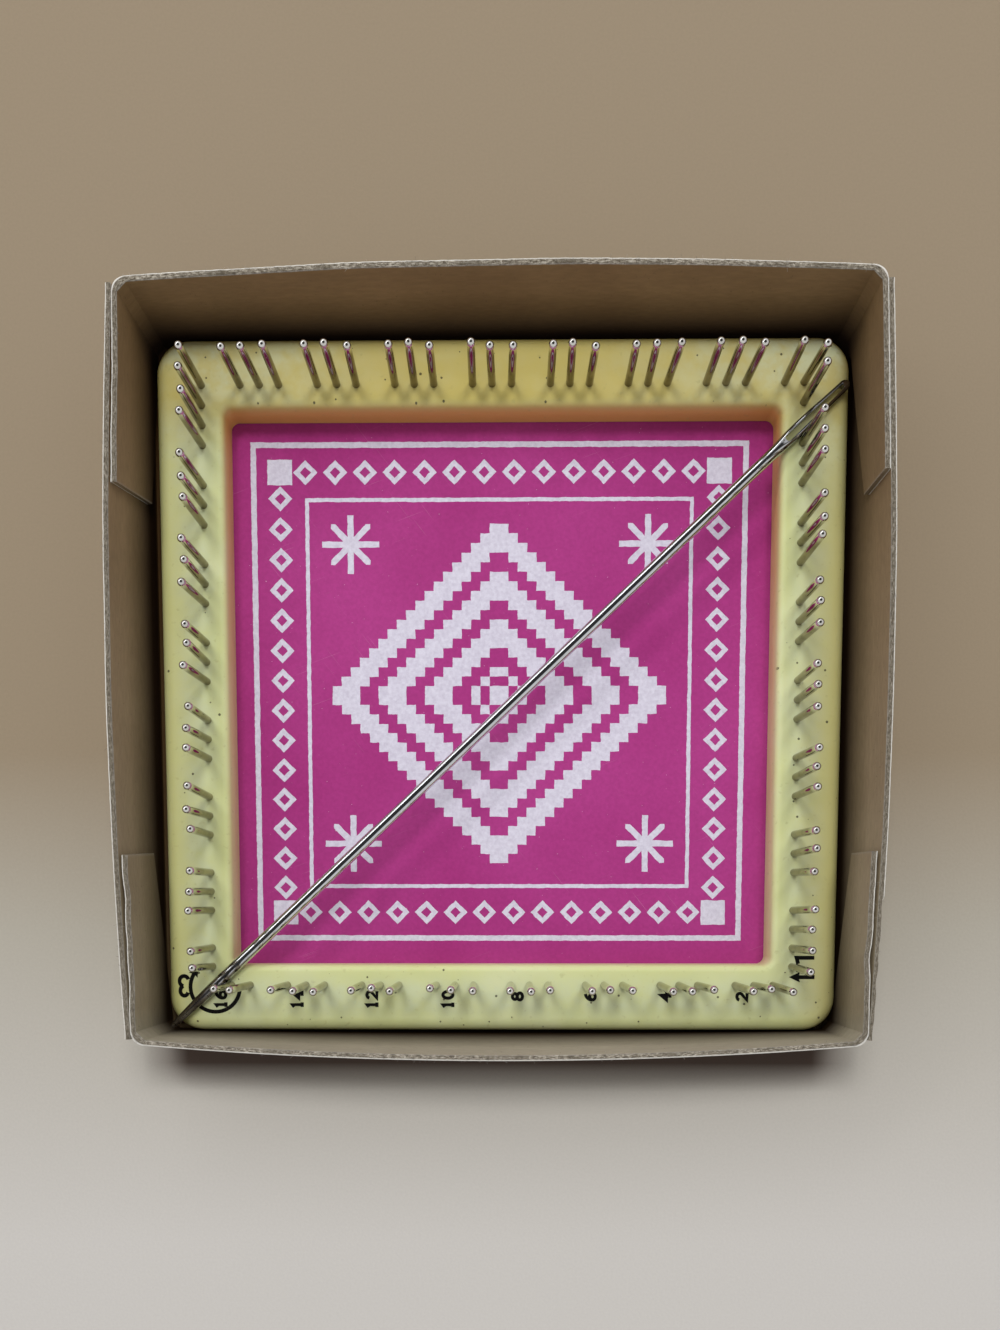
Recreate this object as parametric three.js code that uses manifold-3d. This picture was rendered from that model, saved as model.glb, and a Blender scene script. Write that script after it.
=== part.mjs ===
// A small square hand loom in its storage tray.
// A moulded frame carries a row of steel pins along each side, and yarn is wound round the pins and woven
// with the long needle. The loom lies on a printed card in a folded board tray, pins up, with the needle
// laid across it. Millimetres, +Z up, origin at the centre of the tray's underside.
import * as THREE from "three";
import { mergeVertices } from "three/addons/utils/BufferGeometryUtils.js";
import Module from "manifold-3d";

const wasm = await Module();
wasm.setup();

// Weaving size, which everything else follows: from the pin row on one side to the row opposite
const WEAVING_SPAN = 104.8;

// Frame
const FRAME_BAR = 12;
const FRAME_THICKNESS = 6;
const FRAME_CORNER = 6;
const FRAME_CORNER_STEPS = 5;
const FRAME_SHOULDER = 3;
const FRAME_FOOT_ROUND = 0.6;
const WINDOW_CORNER = 1.5;
const WINDOW_LIP = 1;
const ROW_TO_WINDOW = 3.65;

// Pins, on evenly spaced places along each side, with one place left empty after each group
const PIN_PLACES = 32;
const PIN_DIAMETER = 1.37;
const PIN_HEIGHT = 12.7;
const PIN_SIDES = 8;
const PIN_FIT = 0.1;
const PIN_GROUPS = {
  top: { first: 0, counts: [1, 3, 3, 3, 3, 3, 3, 3, 2] },
  left: { first: 1, counts: [3, 3, 3, 3, 3, 3, 3, 2] },
  right: { first: 1, counts: [1, 3, 3, 3, 3, 3, 3, 4] },
  bottom: { first: 1, counts: [2, 3, 3, 3, 3, 3, 3, 3] },
};

// Foot strip that ties a group's pins together inside the frame
const FOOT_MARGIN = 0.4;
const FOOT_HEIGHT = 1.6;
const FOOT_COVER = 1.5;
const FOOT_FIT = 0.3;

// Needle, which leans on one pin of the right row and one of the bottom row, and whose ends stop a little
// inside the frame's outer edges
const NEEDLE_DIAMETER = 2;
const NEEDLE_SIDES = 12;
const NEEDLE_POINT_DIAMETER = 1;
const NEEDLE_POINT_TAPER = 12;
const NEEDLE_POINT_INSET = 0.8;
const NEEDLE_EYE_INSET = 1.1;
const NEEDLE_RIGHT_PIN = 3;
const NEEDLE_BOTTOM_PIN = 1;
const NEEDLE_LEAN_GAP = 0.1;
const EYE_WIDTH = 2.5;
const EYE_THICKNESS = 1.4;
const EYE_SLOT_LENGTH = 13.4;
const EYE_SLOT_WIDTH = 1.1;
const EYE_END_WALL = 1.2;
const EYE_NECK = 7;
const EYE_ROOT_INSET = 0.1;

// Card
const CARD_THICKNESS = 0.45;
const CARD_SLACK = 1;
const CARD_CORNER = 1;
const CARD_CORNER_STEPS = 2;

// Tray, folded from one sheet of board
const BOARD = 0.95;
const TRAY_SLACK = 0.7;
const TRAY_CORNER = 1.8;
const TRAY_CORNER_STEPS = 3;
const TRAY_FOLD = 0.6;
const TRAY_BOW = 1.7;
const TRAY_BOW_POWER = 1.5;
const TRAY_WALL_STEPS = 5;
const TRAY_SIDE_STEPS = 8;
const RIM_OVER_PINS = 0.3;
const FLAP_LENGTH = 31;
const FLAP_END_FROM_RIM = 11.7;
const FLAP_FOOT_LENGTH = 16;
const FLAP_BITE = 0.2;

// Gap under a piece that rests on another, and at the walls that the loom has slid against
const LAY_GAP = 0.15;
const WALL_GAP = 0.2;

// Sizes that follow from those above
const rowHalf = WEAVING_SPAN / 2;
const pitch = WEAVING_SPAN / (PIN_PLACES - 1);
const windowHalf = rowHalf - ROW_TO_WINDOW;
const frameHalf = windowHalf + FRAME_BAR;
const cardBase = BOARD + LAY_GAP;
const frameBase = cardBase + CARD_THICKNESS + LAY_GAP;
const trayHeight = frameBase + FRAME_THICKNESS + PIN_HEIGHT + RIM_OVER_PINS;
const insideHalf = frameHalf + TRAY_SLACK;
const wallHalfX = insideHalf + BOARD;
const wallHalfY = insideHalf;
const loomShift = TRAY_SLACK - WALL_GAP;

const BOARD_GREY = { color: 0x9c8a74, roughness: 0.95, metalness: 0 };
const PRINT_MAGENTA = { color: 0xa53a80, roughness: 0.45, metalness: 0 };
const FRAME_YELLOW = { color: 0xd2cf98, roughness: 0.35, metalness: 0 };
const PIN_NICKEL = { color: 0xb9b4a6, roughness: 0.25, metalness: 1 };
const NEEDLE_STEEL = { color: 0xc4c6cb, roughness: 0.18, metalness: 1 };

// A closed geometry as a solid, with shared corners merged and collapsed triangles dropped
function solid(geometry) {
  const bare = new THREE.BufferGeometry();
  bare.setAttribute("position", geometry.getAttribute("position"));
  bare.setIndex(geometry.getIndex());
  const merged = mergeVertices(bare, 1e-4);
  const corners = Array.from(merged.getIndex().array);
  const kept = [];
  for (let i = 0; i < corners.length; i += 3) {
    const [a, b, c] = corners.slice(i, i + 3);
    if (a !== b && b !== c && c !== a) kept.push(a, b, c);
  }
  const vertProperties = new Float32Array(merged.getAttribute("position").array);
  return new wasm.Manifold(
    new wasm.Mesh({ numProp: 3, vertProperties, triVerts: new Uint32Array(kept) }),
  );
}

// A finished solid as a named mesh
function piece(name, body, finish) {
  const { vertProperties, triVerts } = body.getMesh();
  const geometry = new THREE.BufferGeometry();
  geometry.setAttribute("position", new THREE.BufferAttribute(vertProperties, 3));
  geometry.setIndex(new THREE.BufferAttribute(triVerts, 1));
  geometry.computeVertexNormals();
  const mesh = new THREE.Mesh(geometry, new THREE.MeshStandardMaterial(finish));
  mesh.name = name;
  return mesh;
}

// An arc's points, from one angle to another in degrees
function arc(centreX, centreY, radius, from, to, steps) {
  const start = THREE.MathUtils.degToRad(from);
  const end = THREE.MathUtils.degToRad(to);
  const curve = new THREE.EllipseCurve(centreX, centreY, radius, radius, start, end, to < from);
  return curve.getPoints(steps);
}

// A rectangle with round corners, whose sides bow out by the given amount at their middles
function outline(halfX, halfY, corner, cornerSteps, bow = 0, sideSteps = 1) {
  const x = halfX - corner;
  const y = halfY - corner;
  const corners = [
    arc(x, -y, corner, -90, 0, cornerSteps),
    arc(x, y, corner, 0, 90, cornerSteps),
    arc(-x, y, corner, 90, 180, cornerSteps),
    arc(-x, -y, corner, 180, 270, cornerSteps),
  ];
  return corners.flatMap((points, turn) => {
    const from = points.at(-1);
    const to = corners[(turn + 1) % corners.length][0];
    const outward = new THREE.Vector2(2 * bow, 0).rotateAround(new THREE.Vector2(), (turn * Math.PI) / 2);
    const pull = from.clone().add(to).multiplyScalar(0.5).add(outward);
    const side = new THREE.QuadraticBezierCurve(from, pull, to);
    return [...points, ...side.getPoints(sideSteps).slice(1, -1)];
  });
}

// The skin through a run of outlines with equally many points: capped at both ends, or closed on itself
function skin(layers, isRing) {
  const count = layers[0].points.length;
  const positions = layers.flatMap(({ points, z }) => points.flatMap((p) => [p.x, p.y, z]));
  const index = [];
  const spans = isRing ? layers.length : layers.length - 1;
  for (let layer = 0; layer < spans; layer++) {
    const near = layer * count;
    const far = ((layer + 1) % layers.length) * count;
    for (let i = 0; i < count; i++) {
      const j = (i + 1) % count;
      index.push(near + i, near + j, far + j, near + i, far + j, far + i);
    }
  }
  if (!isRing) {
    const last = (layers.length - 1) * count;
    for (const [a, b, c] of THREE.ShapeUtils.triangulateShape(layers[0].points, []))
      index.push(c, b, a);
    for (const [a, b, c] of THREE.ShapeUtils.triangulateShape(layers.at(-1).points, []))
      index.push(last + a, last + b, last + c);
  }
  const geometry = new THREE.BufferGeometry();
  geometry.setAttribute("position", new THREE.Float32BufferAttribute(positions, 3));
  geometry.setIndex(index);
  return geometry;
}

// A shape drawn or turned in the XY plane, stood up so that its Y becomes Z
function upright(geometry) {
  return geometry.rotateX(Math.PI / 2);
}

// Tray: floor and walls are one folded sheet, so the walls bow out between the corners and the glue flaps
// of the front and back walls lie on the inner faces of the side walls
function makeTray() {
  const layer = (z, insetX, insetY) => {
    const halfX = wallHalfX + BOARD - insetX;
    const halfY = wallHalfY + BOARD - insetY;
    const corner = Math.max(TRAY_CORNER - insetX, TRAY_FOLD);
    const bow = TRAY_BOW * (Math.min(z, trayHeight) / trayHeight) ** TRAY_BOW_POWER;
    return { points: outline(halfX, halfY, corner, TRAY_CORNER_STEPS, bow, TRAY_SIDE_STEPS), z };
  };
  const wallHeights = [];
  for (let i = 1; i <= TRAY_WALL_STEPS; i++)
    wallHeights.push(TRAY_FOLD + ((trayHeight - TRAY_FOLD) * i) / TRAY_WALL_STEPS);
  const hollow = (floor, insetX, insetY) => {
    const heights = [floor, ...wallHeights, trayHeight + BOARD];
    return solid(skin(heights.map((z) => layer(z, insetX, insetY)), false));
  };
  const walls = [TRAY_FOLD, ...wallHeights].map((z) => layer(z, 0, 0));
  const outside = [layer(0, TRAY_FOLD, TRAY_FOLD), ...walls];
  const shell = solid(skin(outside, false)).subtract(hollow(BOARD, BOARD, BOARD));

  const bite = BOARD - FLAP_BITE;
  const lining = hollow(bite, bite, bite).subtract(hollow(0, 2 * BOARD, 0));
  const flapSide = new THREE.Shape([
    new THREE.Vector2(-FLAP_BITE, 0),
    new THREE.Vector2(FLAP_FOOT_LENGTH, 0),
    new THREE.Vector2(FLAP_LENGTH, trayHeight - FLAP_END_FROM_RIM),
    new THREE.Vector2(FLAP_LENGTH, trayHeight),
    new THREE.Vector2(-FLAP_BITE, trayHeight),
  ]);
  const blockDepth = 2 * wallHalfX + 4 * BOARD + 2 * TRAY_BOW;
  const flaps = [0, Math.PI].map((turn) => {
    const block = new THREE.ExtrudeGeometry(flapSide, { depth: blockDepth, bevelEnabled: false });
    block.translate(-wallHalfY, 0, -blockDepth / 2);
    upright(block).rotateZ(Math.PI / 2 + turn);
    return lining.intersect(solid(block));
  });
  return piece("tray", wasm.Manifold.union([shell, ...flaps]), BOARD_GREY);
}

// Card: printed sheet that lies on the tray's floor and shows through the loom's window
function makeCard() {
  const half = insideHalf - CARD_SLACK;
  const sheet = new THREE.Shape(outline(half, half, CARD_CORNER, CARD_CORNER_STEPS));
  const geometry = new THREE.ExtrudeGeometry(sheet, { depth: CARD_THICKNESS, bevelEnabled: false });
  return piece("card", solid(geometry), PRINT_MAGENTA);
}

// Where a place along a side lies, counted from the left, or from the top on the two upright sides
function pinSpot(side, place) {
  const along = place * pitch - rowHalf;
  if (side === "top") return new THREE.Vector2(along, rowHalf);
  if (side === "bottom") return new THREE.Vector2(along, -rowHalf);
  return new THREE.Vector2(side === "left" ? -rowHalf : rowHalf, -along);
}

// Every group of pins: its name, and the spots where its pins stand
function pinGroups() {
  return Object.entries(PIN_GROUPS).flatMap(([side, { first, counts }]) => {
    let place = first;
    return counts.map((count, i) => {
      const spots = [];
      for (let pin = 0; pin < count; pin++) spots.push(pinSpot(side, place + pin));
      place += count + 1;
      return { name: `pins_${side}_${i + 1}`, spots };
    });
  });
}

// The block that a group's foot strip fills, grown by a fit on every side
function footBlock(spots, fit) {
  const size = spots[0].clone().sub(spots.at(-1));
  const centre = spots[0].clone().add(spots.at(-1)).multiplyScalar(0.5);
  const around = PIN_DIAMETER + 2 * (FOOT_MARGIN + fit);
  const width = Math.abs(size.x) + around;
  const depth = Math.abs(size.y) + around;
  const geometry = new THREE.BoxGeometry(width, depth, FOOT_HEIGHT + 2 * fit);
  return solid(geometry.translate(centre.x, centre.y, FOOT_COVER + FOOT_HEIGHT / 2));
}

// Frame: square moulded ring with a round shoulder outside and a softened window edge, holed for the pins
function makeFrame(groups) {
  const shoulderZ = FRAME_THICKNESS - FRAME_SHOULDER;
  const lipZ = FRAME_THICKNESS - WINDOW_LIP;
  const footReach = frameHalf - FRAME_FOOT_ROUND;
  const section = [
    ...arc(footReach, FRAME_FOOT_ROUND, FRAME_FOOT_ROUND, -90, 0, 2),
    ...arc(frameHalf - FRAME_SHOULDER, shoulderZ, FRAME_SHOULDER, 0, 90, 5),
    ...arc(windowHalf + WINDOW_LIP, lipZ, WINDOW_LIP, 90, 180, 3),
    new THREE.Vector2(windowHalf, 0),
  ];
  const layers = section.map(({ x: reach, y: z }) => {
    const outside = FRAME_CORNER - (frameHalf - reach);
    const inside = WINDOW_CORNER + (reach - windowHalf);
    const corner = reach > rowHalf ? outside : inside;
    return { points: outline(reach, reach, corner, FRAME_CORNER_STEPS), z };
  });
  const holeHeight = FRAME_THICKNESS;
  const holeRadius = PIN_DIAMETER / 2 + PIN_FIT;
  const cuts = groups.flatMap(({ spots }) => [
    footBlock(spots, FOOT_FIT),
    ...spots.map((spot) => {
      const hole = upright(new THREE.CylinderGeometry(holeRadius, holeRadius, holeHeight, PIN_SIDES));
      return solid(hole.translate(spot.x, spot.y, FOOT_COVER + FOOT_HEIGHT + holeHeight / 2));
    }),
  ]);
  const ring = solid(skin(layers, true));
  return piece("frame", ring.subtract(wasm.Manifold.union(cuts)), FRAME_YELLOW);
}

// Pin group: round-tipped steel pins standing on the foot strip that the frame is moulded round
function makePins({ name, spots }) {
  const radius = PIN_DIAMETER / 2;
  const tip = FRAME_THICKNESS + PIN_HEIGHT;
  const profile = [
    new THREE.Vector2(0, FOOT_COVER + FOOT_HEIGHT / 2),
    new THREE.Vector2(radius, FOOT_COVER + FOOT_HEIGHT / 2),
    ...arc(0, tip - radius, radius, 0, 90, 2),
  ];
  profile.at(-1).x = 0;
  const pins = spots.map((spot) => {
    const pin = upright(new THREE.LatheGeometry(profile, PIN_SIDES));
    return solid(pin.translate(spot.x, spot.y, 0));
  });
  return piece(name, wasm.Manifold.union([footBlock(spots, 0), ...pins]), PIN_NICKEL);
}

// Needle: long steel rod with a blunt tapered point and a flattened end pierced by a long eye.
// It is built along +X from the point, then laid on the frame against its two pins.
function makeNeedle() {
  const radius = NEEDLE_DIAMETER / 2;
  const upper = pinSpot("right", NEEDLE_RIGHT_PIN);
  const lower = pinSpot("bottom", NEEDLE_BOTTOM_PIN);
  const upperOff = PIN_DIAMETER / 2 + EYE_WIDTH / 2 + NEEDLE_LEAN_GAP;
  const lowerOff = PIN_DIAMETER / 2 + radius + NEEDLE_LEAN_GAP;
  const between = upper.clone().sub(lower);
  const angle = between.angle() + Math.asin((upperOff - lowerOff) / between.length());
  const along = new THREE.Vector2(Math.cos(angle), Math.sin(angle));
  const across = new THREE.Vector2(-along.y, along.x);
  const upperTouch = upper.clone().addScaledVector(across, upperOff);
  const lowerTouch = lower.clone().addScaledVector(across, lowerOff);
  const pointReach = (lowerTouch.y + frameHalf - NEEDLE_POINT_INSET) / along.y;
  const eyeReach = (frameHalf - NEEDLE_EYE_INSET - upperTouch.x) / along.x;
  const length = between.dot(along) + pointReach + eyeReach;

  const pointRadius = NEEDLE_POINT_DIAMETER / 2;
  const slotStart = length - EYE_END_WALL - EYE_SLOT_LENGTH;
  const neckStart = slotStart - EYE_NECK / 2;
  const rod = [
    ...arc(0, pointRadius, pointRadius, -90, 0, 3),
    new THREE.Vector2(radius, NEEDLE_POINT_TAPER),
    new THREE.Vector2(radius, neckStart + EYE_NECK / 4),
    new THREE.Vector2(EYE_THICKNESS / 3, neckStart + EYE_NECK),
    new THREE.Vector2(0, neckStart + EYE_NECK),
  ];
  rod[0].x = 0;
  const shaft = solid(new THREE.LatheGeometry(rod, NEEDLE_SIDES).rotateZ(-Math.PI / 2));

  const half = EYE_WIDTH / 2;
  const rootHalf = radius - EYE_ROOT_INSET;
  const blade = new THREE.Shape();
  blade.moveTo(neckStart, -rootHalf);
  blade.quadraticCurveTo(neckStart + EYE_NECK / 2, -half, neckStart + EYE_NECK, -half);
  blade.lineTo(length - half, -half);
  blade.absarc(length - half, 0, half, -Math.PI / 2, Math.PI / 2);
  blade.lineTo(neckStart + EYE_NECK, half);
  blade.quadraticCurveTo(neckStart + EYE_NECK / 2, half, neckStart, rootHalf);
  const slot = new THREE.Shape();
  const slotHalf = EYE_SLOT_WIDTH / 2;
  slot.absarc(slotStart + slotHalf, 0, slotHalf, Math.PI / 2, Math.PI * 1.5);
  slot.absarc(length - EYE_END_WALL - slotHalf, 0, slotHalf, -Math.PI / 2, Math.PI / 2);
  const plate = (shape, depth) => {
    const geometry = new THREE.ExtrudeGeometry(shape, { depth, bevelEnabled: false, curveSegments: 4 });
    return solid(geometry.translate(0, 0, -depth / 2));
  };
  const body = shaft.add(plate(blade, EYE_THICKNESS)).subtract(plate(slot, 2 * NEEDLE_DIAMETER));

  const needle = piece("needle", body, NEEDLE_STEEL);
  const point = lowerTouch.clone().addScaledVector(along, -pointReach);
  needle.position.set(point.x, point.y, FRAME_THICKNESS + radius + LAY_GAP);
  needle.rotation.z = angle;
  return needle;
}

// Assembly: the loom and its needle share a group that has slid towards one corner of the tray
const groups = pinGroups();
const loom = new THREE.Group();
loom.add(makeFrame(groups), ...groups.map(makePins), makeNeedle());
loom.position.set(loomShift, -loomShift, frameBase);

const card = makeCard();
card.position.z = cardBase;

const handLoom = new THREE.Group();
handLoom.name = "hand_loom";
handLoom.add(makeTray(), card, loom);

export default handLoom;
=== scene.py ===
import math

import bmesh
import bpy
import numpy as np
from mathutils import Matrix, Vector, noise
from mathutils.bvhtree import BVHTree


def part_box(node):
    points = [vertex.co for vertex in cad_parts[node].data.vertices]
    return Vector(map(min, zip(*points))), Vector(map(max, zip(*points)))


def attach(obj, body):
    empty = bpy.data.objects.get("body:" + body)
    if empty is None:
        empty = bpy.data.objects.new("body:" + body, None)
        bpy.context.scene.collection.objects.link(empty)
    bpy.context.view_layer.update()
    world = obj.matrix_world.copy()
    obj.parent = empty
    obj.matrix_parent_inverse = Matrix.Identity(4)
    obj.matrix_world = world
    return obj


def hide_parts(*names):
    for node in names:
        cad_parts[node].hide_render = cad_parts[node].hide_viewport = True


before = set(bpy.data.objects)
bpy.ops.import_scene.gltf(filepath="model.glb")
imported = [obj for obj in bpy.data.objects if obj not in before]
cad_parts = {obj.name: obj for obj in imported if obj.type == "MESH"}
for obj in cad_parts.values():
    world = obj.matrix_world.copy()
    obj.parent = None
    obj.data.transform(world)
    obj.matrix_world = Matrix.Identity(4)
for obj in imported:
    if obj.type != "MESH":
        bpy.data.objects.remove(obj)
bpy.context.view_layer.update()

# Tray: one die-cut sheet of grey-brown chipboard, scored, folded up and glued.
# The front and back walls run on round the corners as flaps, stuck inside the two side walls.
# Handling has bowed the walls outwards and left the cut rim fuzzy, soiled and a little split.
MM = 0.001
tray_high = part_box("tray")[1]
board = 0.95 * MM
wall_bow = 1.7 * MM
wall_bow_power = 1.5
near_wall_bow = 2.5 * MM
near_wall_bow_power = 0.8
far_wall_lean = 1.1 * MM
side_face = tray_high.x - wall_bow
end_face = tray_high.y - wall_bow
rim_height = tray_high.z
flap_face = side_face - board
corner_fold = 2.4 * MM
corner_pieces = 8
corner_pull = 0.85
floor_fold = 0.6 * MM
floor_step = 4 * MM
floor_lift = 0.02 * MM
floor_warp = 0.03 * MM
floor_warp_length = 30 * MM
# Each flap's free end at the rim and at its bend, the heights of the bend and of its foot by the corner,
# and how far its rim has split from the side wall.
flap_outlines = {
    (-1, 1): (30.3 * MM, 32.6 * MM, 5.7 * MM, 1.1 * MM, 0.35 * MM),
    (1, 1): (30.8 * MM, 30.3 * MM, 12.6 * MM, 5.0 * MM, 0.05 * MM),
    (-1, -1): (30.2 * MM, 29.2 * MM, 8.6 * MM, 1.5 * MM, 0.6 * MM),
    (1, -1): (29.6 * MM, 29.4 * MM, 11.2 * MM, 3.8 * MM, 0.65 * MM),
}
flap_root = 0.12
end_paleness = 0.45
side_end_step = 1.1 * MM
rim_step = 0.45 * MM
rim_reach = 1.2 * MM
rim_crown = 0.2 * MM
rim_crown_power = 4
rim_wave = 0.22 * MM
rim_wave_length = 17 * MM
rim_fuzz = 0.09 * MM
rim_fuzz_length = 0.7 * MM
split_power = 4
split_start = 0.4
split_wave = 0.6
split_wave_length = 5 * MM
tear_start = -37.2 * MM
tear_edge = 0.5 * MM
tear_depth = 0.5 * MM
tear_height = 4 * MM
tear_least = 0.75
tear_wave = 0.5
tear_wave_length = 2 * MM
through_board = [0, 0.12, 0.35, 0.65, 0.88, 1]
wall_heights = [h * MM for h in (0, 0.1, 0.3, 0.6, 2, 5, 8.5, 12, 15, 17.5, 19, 19.8, 20.3, 20.55)]


def steps(start, end, size):
    """Evenly spaced places from start to end, about size apart."""
    return np.linspace(start, end, max(2, round(abs(end - start) / size) + 1)).tolist()


def ease(start, end, value):
    """A smooth ramp from 0 at start to 1 at end."""
    t = min(1, max(0, (value - start) / (end - start)))
    return t * t * (3 - 2 * t)


def ripple(point, length, seed):
    """Smooth noise between about -1 and 1, with bumps about length across."""
    return noise.noise(Vector(point) / length + Vector((seed, 0, 0)))


def slab(bm, columns, rows, layers, place, cut_edges=1.0):
    """A board's closed skin: place(u, v, w) puts a point along the board, up it and through it."""
    cut = bm.verts.layers.float.get("cut") or bm.verts.layers.float.new("cut")
    across = bm.verts.layers.float.get("across") or bm.verts.layers.float.new("across")
    ends, tops, backs = (0, len(columns) - 1), (0, len(rows) - 1), (0, len(layers) - 1)
    made = {}

    def corner(i, j, k):
        if (i, j, k) not in made:
            vert = bm.verts.new(place(columns[i], rows[j], layers[k]))
            vert[cut] = cut_edges * (1.0 if j == tops[1] else end_paleness * (i in ends))
            vert[across] = layers[k]
            made[i, j, k] = vert
        return made[i, j, k]

    def face(*spots):
        bm.faces.new([corner(*spot) for spot in spots])

    for k in backs:
        for i in range(ends[1]):
            for j in range(tops[1]):
                face((i, j, k), (i + 1, j, k), (i + 1, j + 1, k), (i, j + 1, k))
    for j in tops:
        for i in range(ends[1]):
            for k in range(backs[1]):
                face((i, j, k), (i + 1, j, k), (i + 1, j, k + 1), (i, j, k + 1))
    for i in ends:
        for j in range(tops[1]):
            for k in range(backs[1]):
                face((i, j, k), (i, j + 1, k), (i, j + 1, k + 1), (i, j, k + 1))


def added(name, data):
    """A new object in the scene."""
    made = bpy.data.objects.new(name, data)
    bpy.context.scene.collection.objects.link(made)
    return made


def finished(bm, name, finish, sharp=None):
    """The modelled mesh as an object, facing out, smooth apart from edges sharper than an angle."""
    bmesh.ops.recalc_face_normals(bm, faces=bm.faces)
    mesh = bpy.data.meshes.new(name)
    bm.to_mesh(mesh)
    bm.free()
    mesh.shade_smooth()
    if sharp:
        mesh.set_sharp_from_angle(angle=math.radians(sharp))
    mesh.materials.append(finish)
    return added(name, mesh)


def bulge(along, reach, height, bow=wall_bow, power=wall_bow_power):
    """How far a wall has bowed out, most at the middle of its rim."""
    share = max(0, 1 - (along / reach) ** 2)
    return bow * (max(0, height) / rim_height) ** power * share


def rim_shift(point, height, through):
    """How far the cut rim strays from a straight line: long waves, fuzz and worn edges."""
    wave = rim_wave * ripple(point, rim_wave_length, seed=3)
    fuzz = rim_fuzz * ripple(point, rim_fuzz_length, seed=11)
    crown = rim_crown * abs(2 * through - 1) ** rim_crown_power
    return ease(rim_height - rim_reach, rim_height, height) * (wave + fuzz - rim_wave / 2 - crown)


def fold_inset(height):
    """How far the outside of the fold at the floor is drawn in at a height."""
    rise = floor_fold - min(height, floor_fold)
    return floor_fold - math.sqrt(floor_fold**2 - rise**2)


def end_wall_point(along, height, through, end):
    """A point on an end wall: up to 1 along it is the wall, up to 2 the corner, up to 3 the flap."""
    side = math.copysign(1, along)
    stretch = abs(along)
    wall_reach = flap_face - corner_fold
    side_reach = end_face - corner_fold
    rim_end, bend_end, bend_height, corner_height, split_width = flap_outlines[side, end]
    if stretch > 2:
        share = stretch - 2
        bottom = corner_height + (bend_height - corner_height) * share
        bottom += (board - corner_height) * max(0, 1 - share / flap_root)
        height = bottom + height * (rim_height - bottom) / rim_height
        over_bend = max(0, (height - bend_height) / (rim_height - bend_height))
        free_end = bend_end + (rim_end - bend_end) * over_bend
        y = side_reach - share * (side_reach - free_end)
        opening = 1 + split_wave * ripple((y * end, 0, 0), split_wave_length, seed=side)
        opening *= min(1, share / split_start)
        split = split_width * (height / rim_height) ** split_power * opening
        x = flap_face - split + bulge(y, side_reach, height) - board * through
        at = Vector((x, y, height))
    elif stretch > 1:
        bottom = board * (stretch - 1) ** 3
        height = bottom + height * (rim_height - bottom) / rim_height
        angle = (stretch - 1) * math.pi / 2
        chord = math.cos(math.pi / 4) / math.cos(angle - math.pi / 4)
        inset = max(board * through, fold_inset(height) * (2 - stretch))
        radius = (corner_fold - inset) * (1 + (chord - 1) * through)
        at = Vector((wall_reach + radius * math.sin(angle), side_reach + radius * math.cos(angle), height))
    else:
        x = stretch * wall_reach
        inset = max(board * through, fold_inset(height))
        bow = (wall_bow, wall_bow_power) if end > 0 else (near_wall_bow, near_wall_bow_power)
        at = Vector((x, end_face + bulge(x, wall_reach, height, *bow) - inset, height))
    if end > 0:
        at.y += far_wall_lean * height / rim_height * (1 + side * at.x / side_face) / 2
    at.x *= side
    at.y *= end
    at.z += rim_shift(at, height, through)
    return at


def side_wall_point(along, height, through, side):
    """A point on a side wall, whose cut ends stop just short of the folded corners."""
    inset = max(board * through, fold_inset(height))
    if side > 0:
        peeled = ease(tear_start, tear_start - tear_edge, along)
        peeled *= ease(rim_height - tear_height, rim_height, height)
        ragged = tear_least + tear_wave * ripple((along, 0, height), tear_wave_length, seed=5)
        inset = max(inset, tear_depth * peeled * ragged)
    x = side * (side_face + bulge(along, end_face - corner_fold, height) - inset)
    at = Vector((x, along, height))
    at.z += rim_shift(at, height, through)
    return at


def floor_point(across, along, through):
    """A point on the tray's floor, which has warped very slightly and is cut in at the folded corners."""
    past_side = max(0, abs(across) - flap_face + corner_fold)
    past_end = max(0, abs(along) - end_face + corner_fold)
    if past_side > 0 and past_end > 0:
        beyond = Vector((past_side, past_end))
        pulled = beyond * (1 - corner_pull * corner_fold / beyond.length)
        across -= math.copysign(pulled.x, across)
        along -= math.copysign(pulled.y, along)
    warp = floor_warp * ripple((across, along, 0), floor_warp_length, seed=8)
    return Vector((across, along, floor_lift + (board + warp) * through))


def paint(colour):
    """A shader's linear colour, from a plain grey or from red, green and blue as a screen shows them."""
    if not isinstance(colour, tuple):
        return (colour, colour, colour, 1)
    shares = [c / 255 for c in colour]
    return (*[s / 12.92 if s <= 0.04045 else ((s + 0.055) / 1.055) ** 2.4 for s in shares], 1)


def plug(target, inputs):
    """Joins a node's inputs to sockets or to other nodes' first outputs, or sets them to plain values."""
    for key, value in inputs.items():
        if isinstance(value, bpy.types.Node):
            value = value.outputs[0]
        if isinstance(value, bpy.types.NodeSocket):
            target.id_data.links.new(value, target.inputs[key])
        else:
            target.inputs[key].default_value = value


def node(tree, kind, inputs=None, **settings):
    """A node with its settings made and its inputs filled."""
    made = tree.nodes.new(kind)
    for name, value in settings.items():
        setattr(made, name, value)
    plug(made, inputs or {})
    return made


def new_finish(name):
    """An empty material with its shader, and the coordinates that its patterns follow."""
    finish = bpy.data.materials.new(name)
    finish.use_nodes = True
    shader = finish.node_tree.nodes["Principled BSDF"]
    place = node(finish.node_tree, "ShaderNodeTexCoord").outputs["Object"]
    return finish, shader, place


def axes(place):
    """The X, Y and Z of a place, each as a value."""
    return tuple(node(place.id_data, "ShaderNodeSeparateXYZ", {"Vector": place}).outputs)


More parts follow.
